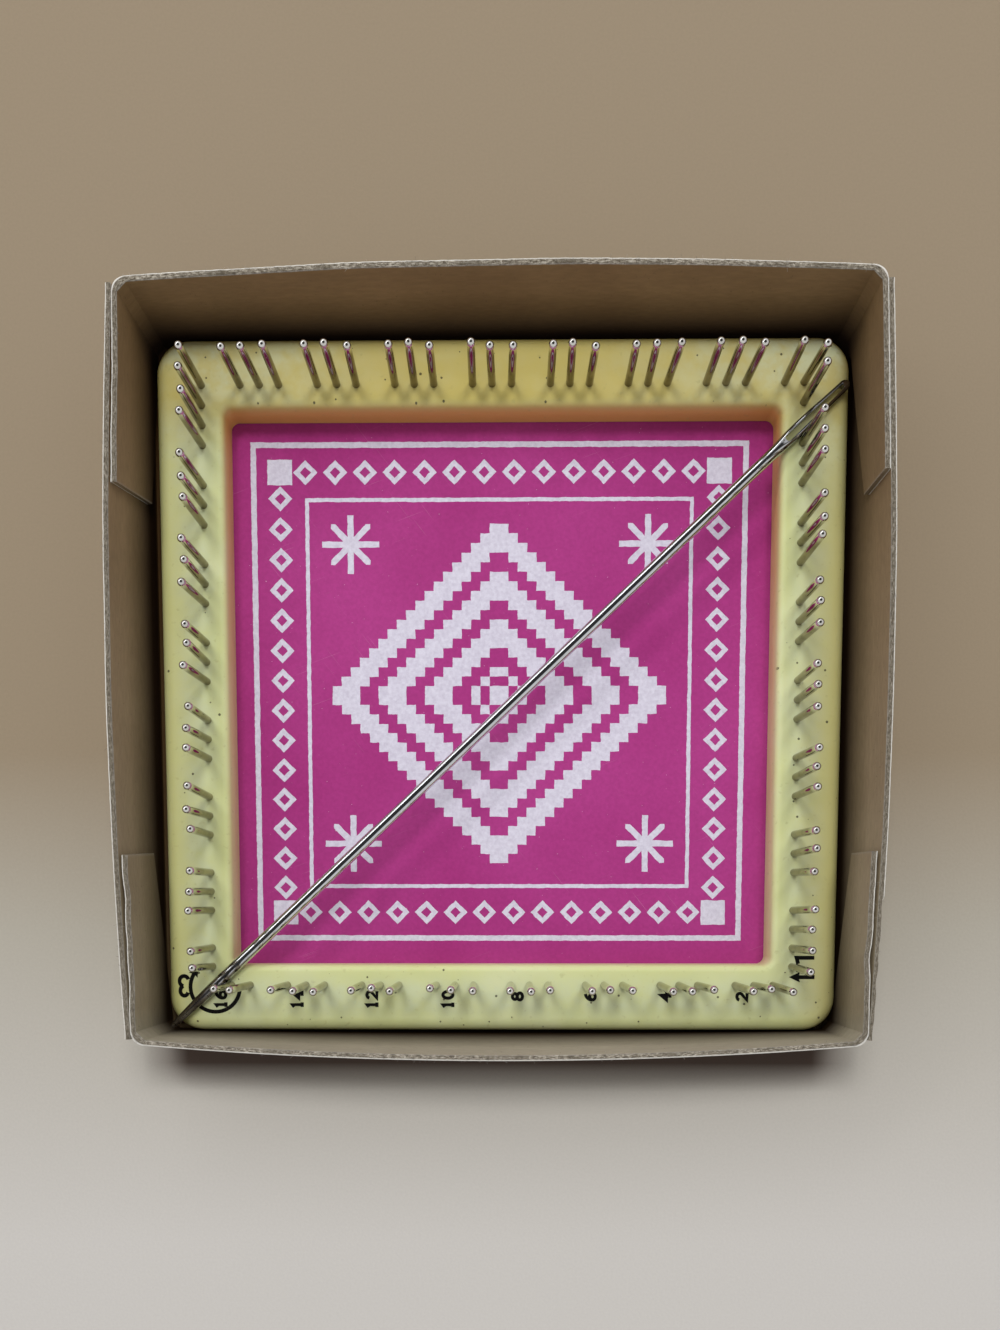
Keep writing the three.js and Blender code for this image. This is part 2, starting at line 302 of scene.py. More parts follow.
def grain(place, size, detail=3, stretch=(1, 1, 1), turn=0):
    """Noise with spots of a real size in metres, drawn out by stretch after turning the pattern."""
    tree = place.id_data
    turned = node(tree, "ShaderNodeMapping", {"Vector": place, "Rotation": (0, 0, -turn)})
    drawn = node(tree, "ShaderNodeMapping", {"Vector": turned, "Scale": [1 / s for s in stretch]})
    made = node(tree, "ShaderNodeTexNoise", {"Vector": drawn, "Scale": 1 / size, "Detail": detail})
    return made.outputs["Fac"]


def ramp(value, *stops):
    """Colours or greys along a value, given as (position, colour) stops."""
    made = node(value.id_data, "ShaderNodeValToRGB", {"Fac": value})
    band = made.color_ramp
    while len(band.elements) < len(stops):
        band.elements.new(1)
    for element, (position, colour) in zip(band.elements, stops):
        element.position = position
        element.color = paint(colour)
    return made.outputs["Color"]


def blend(share, under, over, mode="MIX"):
    """One colour laid over another by a share."""
    filled = {0: share, 6: under, 7: over if isinstance(over, bpy.types.NodeSocket) else paint(over)}
    return node(under.id_data, "ShaderNodeMix", filled, data_type="RGBA", blend_type=mode).outputs[2]


def calc(operation, first, second=0.0):
    """One sum on values in a node tree."""
    tree = (first if isinstance(first, bpy.types.NodeSocket) else second).id_data
    return node(tree, "ShaderNodeMath", {0: first, 1: second}, operation=operation).outputs[0]


def times(first, second):
    """Two values multiplied, such as two masks that both have to hold."""
    return calc("MULTIPLY", first, second)


def part_of(value, whole):
    """A measure as a share of another."""
    return calc("DIVIDE", value, whole)


def relief(shader, height, depth, strength=1.0):
    """Bumps of a real depth in metres on a shader."""
    bumps = {"Height": height, "Distance": depth, "Strength": strength}
    plug(shader, {"Normal": node(shader.id_data, "ShaderNodeBump", bumps)})


def chipboard_finish():
    """Grey-brown board with pressed-in fibres, a soiled, fuzzy cut edge, a whitish liner outside and
    painted light and shade.
    """
    finish, shader, place = new_finish("chipboard")
    tree = finish.node_tree
    cut = node(tree, "ShaderNodeAttribute", attribute_name="cut").outputs["Fac"]
    across = node(tree, "ShaderNodeAttribute", attribute_name="across").outputs["Fac"]
    x, y, z = axes(place)
    level = part_of(z, rim_height)
    lengthwise = calc("ADD", part_of(y, 2 * end_face), 0.5)
    sideways = part_of(calc("ABSOLUTE", x), side_face)
    clouds = grain(place, 22 * MM, 4)
    fibres = grain(place, 0.5 * MM, 4, (4, 4, 1))
    specks = grain(place, 0.45 * MM, 2)
    fuzz = grain(place, 0.24 * MM, 4)
    face = ramp(clouds, (0.3, (155, 136, 110)), (0.7, (173, 154, 127)))
    near_end = ramp(lengthwise, (0.015, 0.6), (0.05, 0.0))
    face = blend(near_end, face, (172, 160, 142))
    # Painted shade: the floor and lower walls are darkened, most just above the floor, fading out by three
    # quarters of the height.
    painted_low_shade = ramp(level, (0.05, (165, 147, 124)), (0.09, (88, 70, 52)), (0.2, (88, 70, 52)), (0.72, 1.0))
    face = blend(1.0, face, painted_low_shade, "MULTIPLY")
    # Painted light and shade along the tray: the lit near end is darkened least and turned slightly blue,
    # the shaded far end darkest and warmest.
    painted_end_shading = ramp(lengthwise, (0.14, (238, 247, 251)), (0.36, (219, 218, 214)), (1.0, (205, 188, 162)))
    face = blend(1.0, face, painted_end_shading, "MULTIPLY")
    liner = ramp(clouds, (0.3, (186, 178, 163)), (0.7, (201, 194, 180)))
    face = blend(ramp(across, (0.05, 1.0), (0.15, 0.0)), face, liner)
    face = blend(0.22, face, ramp(fibres, (0.3, 0.32), (0.7, 0.66)), "OVERLAY")
    face = blend(ramp(specks, (0.68, 0.0), (0.76, 0.5)), face, (84, 69, 53))
    ply = node(tree, "ShaderNodeCombineXYZ", {"X": x, "Y": y, "Z": times(across, 4 * board)})
    streaks = grain(ply, 0.7 * MM, 4)
    core = ramp(streaks, (0.34, (84, 77, 67)), (0.5, (134, 126, 112)), (0.64, (178, 171, 158)))
    core = blend(ramp(fuzz, (0.36, 0.75), (0.46, 0.0)), core, (50, 44, 39))
    on_side = ramp(sideways, (0.93, 0.0), (0.97, 1.0))
    handled = times(on_side, ramp(lengthwise, (0.3, 0.6), (0.95, 0.45)))
    soiled = ramp(grain(place, 7 * MM, 3), (0.46, 0.0), (0.62, 0.55))
    core = blend(calc("MAXIMUM", handled, soiled), core, (86, 79, 67))
    skin = ramp(across, (0.18, 0.95), (0.28, 0.0), (0.88, 0.0), (1.0, 0.25))
    core = blend(skin, core, (214, 211, 204))
    worn = times(cut, ramp(fuzz, (0.2, 0.75), (0.5, 1.0)))
    colour = blend(worn, face, core)
    plug(shader, {"Base Color": colour, "Roughness": 0.92, "Specular IOR Level": 0.25})
    relief(shader, blend(cut, fibres, fuzz), 0.05 * MM)
    return finish


bm = bmesh.new()
corner_turns = [1 + t / corner_pieces for t in range(1, corner_pieces + 1)]
flap_places = [2 + s for s in steps(0, 1, rim_step / (end_face / 2))[1:]]
half_wall = steps(0, 1, rim_step / flap_face)[1:] + corner_turns + flap_places
whole_wall = [-a for a in reversed(half_wall)] + [0] + half_wall
heights = wall_heights + [rim_height]
for end in (1, -1):
    slab(bm, whole_wall, heights, through_board, lambda u, v, w: end_wall_point(u, v, w, end))
side_half = end_face - side_end_step
side_places = steps(-side_half, side_half, rim_step)
for side in (1, -1):
    slab(bm, side_places, heights, through_board, lambda u, v, w: side_wall_point(u, v, w, side))
floor_x = side_face - board / 2
floor_y = end_face - board / 2
floor_across = steps(-floor_x, floor_x, floor_step)
floor_along = steps(-floor_y, floor_y, floor_step)
slab(bm, floor_across, floor_along, [0, 1], floor_point, cut_edges=0.0)
tray = finished(bm, "tray_board", chipboard_finish(), sharp=28)
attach(tray, "tray")
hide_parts("tray")


# Fibres: short hairs of paper pulp that stand up where handling has broken the cut edge of the board.
# They are too fine to matter to the shape, and they give the rim its soft outline.
fibre_length = 0.42 * MM
fibre_radius = 0.016 * MM
fibre_sides = 3
fibre_bends = 3
fibre_sizes = (0.35, 1.25)
fibre_lean = 1.0
fibres_per_square_metre = 1.8e6
fibre_floor = 3 * MM
fibre_seed = 7
least_cut = 0.95


def new_tree(name, *sizes):
    """A geometry tree that takes the mesh it works on, its sizes by name and a seed."""
    tree = bpy.data.node_groups.new(name, "GeometryNodeTree")
    for way in ("INPUT", "OUTPUT"):
        tree.interface.new_socket("Geometry", in_out=way, socket_type="NodeSocketGeometry")
    for label in sizes:
        tree.interface.new_socket(label, in_out="INPUT", socket_type="NodeSocketFloat")
    tree.interface.new_socket("Seed", in_out="INPUT", socket_type="NodeSocketInt")
    return tree, node(tree, "NodeGroupInput").outputs


def end_tree(tree, instances, finish):
    """Ends a geometry tree, with its instances made real and given their finish."""
    whole = node(tree, "GeometryNodeRealizeInstances", {"Geometry": instances})
    coloured = node(tree, "GeometryNodeSetMaterial", {"Geometry": whole, "Material": finish})
    node(tree, "NodeGroupOutput", {"Geometry": coloured})


def shaped(holder):
    """The plain mesh that an object's modifiers make of it."""
    bpy.context.view_layer.update()
    return bpy.data.meshes.new_from_object(holder.evaluated_get(bpy.context.evaluated_depsgraph_get()))


def grown(name, base, tree, finish, **values):
    """The mesh that a geometry tree makes from a base mesh, as an object of its own."""
    holder = added(name + "_base", base)
    modifier = holder.modifiers.new(tree.name, "NODES")
    modifier.node_group = tree
    for socket in tree.interface.items_tree:
        if socket.name in values:
            modifier[socket.identifier] = values[socket.name]
    mesh = shaped(holder)
    holder.modifiers.remove(modifier)
    bpy.data.objects.remove(holder)
    mesh.name = name
    mesh.materials.clear()
    mesh.materials.append(finish)
    return added(name, mesh)


def fibre_tree(finish):
    """Scatters bent, three-sided hairs over the cut edges of a board."""
    tree, given = new_tree("rim_fibres", "Density", "Length", "Radius", "Lowest")
    seed, length = given["Seed"], given["Length"]
    cut = node(tree, "GeometryNodeInputNamedAttribute", {"Name": "cut"}, data_type="FLOAT")
    is_cut = node(tree, "FunctionNodeCompare", {0: cut, 1: least_cut}, operation="GREATER_THAN")
    z = axes(node(tree, "GeometryNodeInputPosition"))[2]
    is_high = node(tree, "FunctionNodeCompare", {0: z, 1: given["Lowest"]}, operation="GREATER_THAN")
    chosen = node(tree, "FunctionNodeBooleanMath", {0: is_cut, 1: is_high}, operation="AND")
    spread = {"Mesh": given["Geometry"], "Selection": chosen, "Density": given["Density"], "Seed": seed}
    scatter = node(tree, "GeometryNodeDistributePointsOnFaces", spread)
    tip = node(tree, "ShaderNodeCombineXYZ", {"X": length, "Z": length})
    middle = node(tree, "ShaderNodeCombineXYZ", {"Z": length})
    curl = {"Resolution": fibre_bends, "Start": (0.0, 0.0, 0.0), "Middle": middle, "End": tip}
    hair = node(tree, "GeometryNodeCurveQuadraticBezier", curl)
    outline = {"Resolution": fibre_sides, "Radius": given["Radius"]}
    ring = node(tree, "GeometryNodeCurvePrimitiveCircle", outline)
    tubed = {"Curve": hair, "Profile Curve": ring, "Fill Caps": True}
    tube = node(tree, "GeometryNodeCurveToMesh", tubed)
    turns = {0: (-fibre_lean, -fibre_lean, 0.0), 1: (fibre_lean, fibre_lean, math.tau), "Seed": seed}
    turn = node(tree, "FunctionNodeRandomValue", turns, data_type="FLOAT_VECTOR")
    sizes = {2: fibre_sizes[0], 3: fibre_sizes[1], "Seed": seed}
    size = node(tree, "FunctionNodeRandomValue", sizes, data_type="FLOAT").outputs[1]
    hairs = {"Points": scatter, "Instance": tube, "Rotation": turn, "Scale": size}
    end_tree(tree, node(tree, "GeometryNodeInstanceOnPoints", hairs), finish)
    return tree


def pulp_finish():
    """Loose paper pulp, from grey to off-white."""
    finish, shader, place = new_finish("paper_pulp")
    shade = grain(place, 1.3 * MM, 2)
    pale = ramp(shade, (0.35, (96, 89, 81)), (0.65, (182, 176, 167)))
    plug(shader, {"Base Color": pale, "Roughness": 0.95})
    return finish


pulp = pulp_finish()
fibres = grown(
    "rim_fibres",
    tray.data.copy(),
    fibre_tree(pulp),
    pulp,
    Density=fibres_per_square_metre,
    Length=fibre_length,
    Radius=fibre_radius,
    Lowest=fibre_floor,
    Seed=fibre_seed,
)
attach(fibres, "tray")


# Card: a sheet of stiff paper printed in one pass of magenta, with the pattern left pinkish white.
# It lies loose on the tray's floor. Sliding about under the loom has scratched the print.
card_low, card_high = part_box("card")
card_step = 1.5 * MM
card_corner = 1 * MM
card_wave = 0.05 * MM
card_wave_length = 26 * MM
check = 1.7 * MM
twill_repeat = 5
twill_light = 2.5
diamond_checks = (1.5, 19.5)
heart_checks = 0.5
border_lines = ((44.0 * MM, 45.0 * MM), (34.5 * MM, 35.2 * MM))
corner_block = (37.5 * MM, 42.0 * MM)
stitch_line = 39.7 * MM
stitch_pitch = 5.4 * MM
stitch_size = 2.2 * MM
stitch_hollow = 1.0 * MM
stitch_run = 37.6 * MM
star_place = 27 * MM
upright_ray = (0.55 * MM, 5.2 * MM)
slant_ray = (0.8 * MM, 3.6 * MM)
print_wobble = 0.3 * MM
print_wobble_length = 1.2 * MM


def card_point(across, along, through):
    """A point on the card, with its corners rounded and the sheet a little wavy."""
    reach = Vector((card_high.x - card_corner, card_high.y - card_corner))
    beyond = Vector((max(0, abs(across) - reach.x), max(0, abs(along) - reach.y)))
    if beyond.x > 0 and beyond.y > 0:
        beyond = beyond.normalized() * max(beyond)
        across = math.copysign(reach.x + beyond.x, across)
        along = math.copysign(reach.y + beyond.y, along)
    wave = card_wave * ripple((across, along, 0), card_wave_length, seed=2)
    return Vector((across, along, card_low.z + through * (card_high.z - card_low.z) + wave))


def print_mask(place):
    """Where the paper is bare: a twill diamond, corner stars and a border of stitches, all mirrored."""
    across, along = [calc("ABSOLUTE", value) for value in axes(place)[:2]]
    outer = calc("MAXIMUM", across, along)
    inner = calc("MINIMUM", across, along)

    def over(value, limit):
        return calc("GREATER_THAN", value, limit)

    def under(value, limit):
        return calc("LESS_THAN", value, limit)

    def within(value, limits):
        return times(over(value, limits[0]), under(value, limits[1]))

    def far(value, middle):
        return calc("ABSOLUTE", calc("SUBTRACT", value, middle))

    counted = [calc("FLOOR", part_of(value, check)) for value in (across, along)]
    square = calc("ADD", *counted)
    twill = under(calc("FLOORED_MODULO", square, twill_repeat), twill_light)
    stitch_place = calc("FLOORED_MODULO", inner, stitch_pitch)
    stitch = calc("ADD", far(stitch_place, stitch_pitch / 2), far(outer, stitch_line))
    stitches = times(under(stitch, stitch_size), under(inner, stitch_run))
    ray = [far(across, star_place), far(along, star_place)]
    star_reach = calc("MAXIMUM", *ray)
    upright = under(calc("MINIMUM", *ray), upright_ray[0])
    slant = under(far(*ray), slant_ray[0])
    mask = times(twill, within(square, diamond_checks))
    for part in (
        under(square, heart_checks),
        *[within(outer, line) for line in border_lines],
        times(stitches, over(stitch, stitch_hollow)),
        times(within(outer, corner_block), within(inner, corner_block)),
        times(upright, under(star_reach, upright_ray[1])),
        times(slant, under(star_reach, slant_ray[1])),
    ):
        mask = calc("MAXIMUM", mask, part)
    return mask


def print_finish():
    """Satin magenta ink on white paper, with uneven ink, fine scratches and a few white flecks."""
    finish, shader, place = new_finish("magenta_print")
    tree = finish.node_tree
    clouds = grain(place, 30 * MM, 3)
    mottle = grain(place, 0.6 * MM, 3)
    patches = grain(place, 14 * MM, 2)
    scratches = [grain(place, 0.12 * MM, 1, (160, 1, 1), turn) for turn in (0.35, -0.9)]
    rough = {"Vector": place, "Scale": 1 / print_wobble_length, "Detail": 2.0}
    wobble = node(tree, "ShaderNodeTexNoise", rough).outputs["Color"]
    offset = node(tree, "ShaderNodeVectorMath", {0: wobble, 1: (0.5, 0.5, 0.5)}, operation="SUBTRACT")
    shift = node(tree, "ShaderNodeVectorMath", {0: offset, "Scale": print_wobble}, operation="SCALE")
    ragged = node(tree, "ShaderNodeVectorMath", {0: place, 1: shift}, operation="ADD")
    ink = ramp(clouds, (0.3, (157, 48, 117)), (0.7, (170, 59, 131)))
    ink = blend(0.25, ink, ramp(mottle, (0.3, 0.35), (0.7, 0.62)), "OVERLAY")
    bare = ramp(mottle, (0.3, (196, 190, 206)), (0.7, (214, 210, 224)))
    colour = blend(print_mask(ragged), ink, bare)
    scored = ramp(calc("MAXIMUM", *scratches), (0.74, 0.0), (0.8, 1.0))
    scored = times(scored, ramp(patches, (0.5, 0.0), (0.62, 0.5)))
    flecks = ramp(grain(place, 0.35 * MM, 1), (0.8, 0.0), (0.84, 0.7))
    colour = blend(scored, colour, (214, 160, 190))
    colour = blend(flecks, colour, (235, 220, 228))
    gloss = ramp(clouds, (0.3, 0.42), (0.7, 0.54))
    gloss = blend(scored, gloss, 0.7)
    plug(shader, {"Base Color": colour, "Roughness": gloss, "Specular IOR Level": 0.3})
    relief(shader, mottle, 0.012 * MM)
    return finish


bm = bmesh.new()
card_across = steps(card_low.x, card_high.x, card_step)
card_along = steps(card_low.y, card_high.y, card_step)
slab(bm, card_across, card_along, [0, 1], card_point)
card = finished(bm, "printed_card", print_finish(), sharp=50)
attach(card, "card")
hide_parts("card")


# Loom frame: one moulding in butter-yellow plastic, a square ring with a broad round shoulder outside.
# The edge round the window is softened, and its wall drops straight to the card.
frame_low, frame_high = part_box("frame")
loom_centre = (frame_low + frame_high) / 2
frame_half = (frame_high.x - frame_low.x) / 2
frame_top = frame_high.z
frame_depth = frame_high.z - frame_low.z
frame_bar = 12 * MM
window_half = frame_half - frame_bar
frame_corner = 6 * MM
shoulder = 2.6 * MM
foot_round = 0.6 * MM
flat_places = (2 * MM, 4 * MM, 6 * MM)
flat_turn = 3 * MM
window_lip = 1.3 * MM
window_corner = 1.5 * MM
wall_draft = 0.25 * MM
wall_places = (0.8, 0.5, 0.2, 0)
corner_steps = 14
side_pieces = 10
dirt_spacing = 4.5 * MM


def arc(centre, radius, start, end, count):
    """Points on an arc, with its angles in degrees."""
    turns = [math.radians(start + (end - start) * i / count) for i in range(count + 1)]
    return [(centre[0] + radius * math.cos(t), centre[1] + radius * math.sin(t)) for t in turns]


def square_ring(reach, corner):
    """A square with round corners, as points in order."""
    inner = reach - corner
    centres = ((inner, -inner), (inner, inner), (-inner, inner), (-inner, -inner))
    starts = (-90, 0, 90, 180)
    bends = [arc(at, corner, turn, turn + 90, corner_steps) for at, turn in zip(centres, starts)]
    points = []
    for bend, following in zip(bends, bends[1:] + bends[:1]):
        points += bend
        for step in range(1, side_pieces):
            share = step / side_pieces
            points.append(tuple(a + (b - a) * share for a, b in zip(bend[-1], following[0])))
    return points


def bridge(bm, near, far):
    """Faces between two rings of vertices."""
    for i in range(len(near)):
        j = (i + 1) % len(near)
        bm.faces.new([near[i], near[j], far[j], far[i]])


def frame_section():
    """The bar's outline from outside to window, as (reach from the loom's centre, height)."""
    wall = [(window_half - wall_draft * s, s * (frame_depth - window_lip)) for s in wall_places]
    return (
        arc((frame_half - foot_round, foot_round), foot_round, -90, 0, 5)
        + arc((frame_half - shoulder, frame_depth - shoulder), shoulder, 0, 90, 16)
        + [(frame_half - shoulder - s, frame_depth) for s in flat_places]
        + arc((window_half + window_lip, frame_depth - window_lip), window_lip, 90, 180, 10)
        + wall
    )


def yellow_finish():
    """Glossy plastic with uneven yellowing, grey bloom at the far corners, dirt specks and painted shade
    and bounce light.
    """
    finish, shader, place = new_finish("butter_plastic")
    tree = finish.node_tree
    x, y, z = axes(place)
    clouds = grain(place, 16 * MM, 4)
    smears = grain(place, 3 * MM, 4)
    hazes = grain(place, 9 * MM, 4)
    offsets = [calc("SUBTRACT", at, middle) for at, middle in zip((x, y), loom_centre)]
    from_centre = calc("MAXIMUM", *[calc("ABSOLUTE", offset) for offset in offsets])
    reach = part_of(calc("SUBTRACT", from_centre, window_half), frame_bar)
    down = part_of(calc("SUBTRACT", frame_top, z), frame_depth)
    sideways = part_of(calc("ABSOLUTE", x), frame_half)
    far = part_of(y, frame_half)
    lengthwise = calc("ADD", part_of(y, 2 * window_half), 0.5)
    colour = ramp(clouds, (0.3, (200, 204, 143)), (0.55, (207, 211, 155)), (0.75, (211, 215, 168)))
    middle = ramp(reach, (0.12, 0.0), (0.35, 1.0), (0.62, 1.0), (0.85, 0.0))
    faded = times(middle, ramp(smears, (0.32, 0.15), (0.62, 0.7)))
    colour = blend(faded, colour, (201, 208, 174))
    # Yellowing and painted shade: the far bar is darker and warmer, partly aged plastic and partly the far
    # wall's shade.
    yellowed_and_shaded = ramp(far, (0.66, 0.0), (0.82, 0.85))
    colour = blend(yellowed_and_shaded, colour, (192, 172, 90))
    # Painted shade: the right bar's outer edge is darkened to olive.
    painted_right_shade = ramp(part_of(x, frame_half), (0.86, 0.0), (0.97, 0.6))
    colour = blend(painted_right_shade, colour, (170, 155, 88))
    left_edge = ramp(part_of(x, -frame_half), (0.86, 0.0), (0.96, 0.4))
    colour = blend(left_edge, colour, (188, 178, 100))
    far_end = ramp(far, (0.5, 0.0), (0.95, 1.0))
    bloom = times(far_end, ramp(sideways, (0.3, 0.15), (0.8, 1.0)))
    bloom = times(bloom, ramp(hazes, (0.28, 0.2), (0.55, 0.9)))
    bloom = times(bloom, ramp(smears, (0.36, 0.35), (0.6, 1.0)))
    bloom = times(bloom, ramp(down, (0.01, 1.0), (0.16, 0.1)))
    colour = blend(bloom, colour, (200, 204, 168))
    # Painted bounce light: the window's wall turns pinkish on the near side and amber on the far side,
    # strongest low on the wall.
    by_window = ramp(reach, (0.02, 1.0), (0.15, 0.0))
    deep = times(by_window, ramp(down, (0.02, 0.0), (0.35, 0.85)))
    painted_wall_bounce = times(deep, ramp(lengthwise, (0.1, 0.3), (0.95, 0.9)))
    warm = ramp(lengthwise, (0.1, (226, 160, 138)), (0.9, (206, 140, 70)))
    colour = blend(painted_wall_bounce, colour, warm)
    grime = ramp(grain(place, 1.1 * MM, 5), (0.62, 0.0), (0.78, 0.35))
    colour = blend(grime, colour, (150, 144, 92))
    spread = {"Vector": place, "Scale": 1 / dirt_spacing}
    cells = node(tree, "ShaderNodeTexVoronoi", spread, voronoi_dimensions="2D").outputs
    chance = node(tree, "ShaderNodeSeparateColor", {"Color": cells["Color"]}).outputs
    speck = calc("LESS_THAN", cells["Distance"], times(chance[0], 0.055))
    speck = times(speck, calc("GREATER_THAN", chance[1], 0.45))
    speck = times(speck, ramp(down, (0.08, 1.0), (0.2, 0.0)))
    colour = blend(times(speck, 0.85), colour, (62, 56, 38))
    dull = blend(bloom, ramp(smears, (0.35, 0.36), (0.7, 0.46)), 0.65)
    plug(shader, {"Base Color": colour, "Roughness": dull, "Specular IOR Level": 0.4})
    glow = {"Weight": 0.12, "Radius": (1.0, 0.75, 0.35), "Scale": 1.5 * MM}
    plug(shader, {"Subsurface " + name: value for name, value in glow.items()})
    relief(shader, smears, 0.02 * MM)
    return finish


bm = bmesh.new()
rings = []
for reach, height in frame_section():
    outside = frame_corner - (frame_half - reach)
    inside = window_corner + max(0, reach - window_half)
    ring = square_ring(reach, outside if reach > frame_half - shoulder - flat_turn else inside)
    level = frame_low.z + height
    rings.append([bm.verts.new((x + loom_centre.x, y + loom_centre.y, level)) for x, y in ring])
for near, far in zip(rings, rings[1:] + rings[:1]):
    bridge(bm, near, far)
loom_frame = finished(bm, "loom_frame", yellow_finish(), sharp=40)
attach(loom_frame, "loom")
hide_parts("frame")


# Pins: lengths of nickel-plated steel wire with rounded ends, moulded into the frame in four rows.
# They stand in groups with one place left empty between, and use has bent each one slightly.
pin_span = 104.8 * MM
pin_places = 32
pin_pitch = pin_span / (pin_places - 1)
pin_radius = 1.37 * MM / 2
pin_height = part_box("pins_top_1")[1].z - frame_top
pin_buried = 2 * MM
pin_bulge = 1.04
pin_stations = 21
pin_shaft_share = 0.3
pin_sides = 16
pin_weld = 1e-6
pin_strip_margin = 0.4 * MM
pin_tilt = math.radians(1.7)
pin_seed = 4


def pin_spots(name):
    """Where a group's pins stand, from the box of the strip that they stand on."""
    low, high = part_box(name)
    inset = pin_radius + pin_strip_margin
    first = Vector((low.x + inset, low.y + inset, frame_top))
    last = Vector((high.x - inset, high.y - inset, frame_top))
    count = round((last - first).length / pin_pitch)
    return [first.lerp(last, i / count) if count else first for i in range(count + 1)]


def pin_tree(finish):
    """Stands a round-ended pin on every point, each leaning its own way."""
    tree, given = new_tree("pin_rows", "Radius", "Height", "Buried", "Bulge", "Tilt")
    along = node(tree, "GeometryNodeSplineParameter").outputs["Factor"]
    line = node(tree, "GeometryNodeCurvePrimitiveLine", {"End": (0.0, 0.0, 1.0)})
    stations = node(tree, "GeometryNodeResampleCurve", {"Curve": line, "Count": pin_stations})
    up_shaft = calc("MINIMUM", part_of(along, pin_shaft_share), 1.0)
    past_shaft = calc("SUBTRACT", along, pin_shaft_share)
    round_tip = calc("MAXIMUM", part_of(past_shaft, 1 - pin_shaft_share), 0.0)
    ball = times(given["Radius"], given["Bulge"])
    neck = calc("ARCCOSINE", part_of(1.0, given["Bulge"]))
    sweep = calc("ADD", neck, math.pi / 2)
    angle = calc("SUBTRACT", times(round_tip, sweep), neck)
    centre = calc("SUBTRACT", calc("ADD", given["Height"], given["Buried"]), ball)
    straight = calc("SUBTRACT", centre, times(calc("SINE", neck), ball))
    on_ball = times(calc("ADD", calc("SINE", angle), calc("SINE", neck)), ball)
    from_foot = calc("ADD", times(up_shaft, straight), on_ball)
    place = node(tree, "ShaderNodeCombineXYZ", {"Z": calc("SUBTRACT", from_foot, given["Buried"])})
    width = times(calc("COSINE", angle), ball)
    sized = node(tree, "GeometryNodeSetCurveRadius", {"Curve": stations, "Radius": width})
    profile = node(tree, "GeometryNodeSetPosition", {"Geometry": sized, "Position": place})
    ring = node(tree, "GeometryNodeCurvePrimitiveCircle", {"Resolution": pin_sides, "Radius": 1.0})
    radius = node(tree, "GeometryNodeInputRadius")
    tubed = {"Curve": profile, "Profile Curve": ring, "Scale": radius, "Fill Caps": True}
    wire = node(tree, "GeometryNodeCurveToMesh", tubed)
    closed = node(tree, "GeometryNodeMergeByDistance", {"Geometry": wire, "Distance": pin_weld})
    smooth = node(tree, "GeometryNodeSetShadeSmooth", {"Geometry": closed})
    back = times(given["Tilt"], -1.0)
    least = node(tree, "ShaderNodeCombineXYZ", {"X": back, "Y": back})
    most = node(tree, "ShaderNodeCombineXYZ", {"X": given["Tilt"], "Y": given["Tilt"], "Z": math.tau})
    leans = {0: least, 1: most, "Seed": given["Seed"]}
    lean = node(tree, "FunctionNodeRandomValue", leans, data_type="FLOAT_VECTOR")
    pins = {"Points": given["Geometry"], "Instance": smooth, "Rotation": lean}
    end_tree(tree, node(tree, "GeometryNodeInstanceOnPoints", pins), finish)
    return tree


def nickel_finish():
    """Nickel plate, rubbed bright on the tips and dulled to a warm brown grey down the shafts."""
    finish, shader, place = new_finish("nickel_plate")
    spots = grain(place, 2.5 * MM, 4)
    up = part_of(calc("SUBTRACT", axes(place)[2], frame_top), pin_height)
    shaft = ramp(spots, (0.4, (146, 137, 117)), (0.7, (116, 107, 88)))
    tip = ramp(spots, (0.4, (224, 222, 218)), (0.7, (206, 202, 195)))
    rubbed = ramp(up, (0.8, 0.0), (0.95, 1.0))
    colour = blend(rubbed, shaft, tip)
    dull = ramp(spots, (0.4, 0.02), (0.75, 0.08))
    dull = blend(rubbed, dull, ramp(spots, (0.4, 0.04), (0.75, 0.14)))
    plug(shader, {"Base Color": colour, "Roughness": dull, "Metallic": 1})
    return finish


pin_nodes = sorted(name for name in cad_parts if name.startswith("pins_"))
pin_points = bpy.data.meshes.new("pin_points")
pin_points.from_pydata([spot for name in pin_nodes for spot in pin_spots(name)], [], [])
nickel = nickel_finish()
pins = grown(
    "steel_pins",
    pin_points,
    pin_tree(nickel),
    nickel,
    Radius=pin_radius,
    Height=pin_height,
    Buried=pin_buried,
    Bulge=pin_bulge,
    Tilt=pin_tilt,
    Seed=pin_seed,
)
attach(pins, "loom")
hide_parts(*pin_nodes)


# Marks: plain numbers and arrows printed in black on the frame, which tell the weaver where to start
# and how many pins have been counted. The ink lies on the plastic as a thin, slightly worn film.
ink_thickness = 0.03 * MM
ink_lift = 0.002 * MM
ink_layers = 3
ink_drop = 5 * MM
mitre_limit = 0.5
number_stroke = 0.58 * MM
number_height = 1.87 * MM
number_pitch = 1.86 * MM
number_breadth = 1.12
number_turn = 90
number_lines = {1: -54.45 * MM, 2: -55.1 * MM}
count_marks = {"16": -51.0, "14": -37.1, "12": -23.5, "10": -9.7, "8": 2.9, "6": 16.1, "4": 29.6, "2": 43.5}
bold_stroke = 0.7 * MM
corner_number_place = (-57.7 * MM, -52.6 * MM)
corner_number_height = 3.7 * MM
corner_number_breadth = 0.76
corner_number_turn = 180
start_tick = [(56.4 * MM, -47.4 * MM), (53.2 * MM, -47.4 * MM), (53.5 * MM, -48.5 * MM)]
arrow_shaft = [(56.5 * MM, -50.9 * MM), (53.6 * MM, -50.9 * MM)]
arrow_tip = Vector((51.9 * MM, -50.9 * MM))
arrow_head = (2.0 * MM, 1.9 * MM)
turn_centre = (-52.0 * MM, -52.8 * MM)
turn_radius = 4.5 * MM
turn_sweep = (-6, -215)
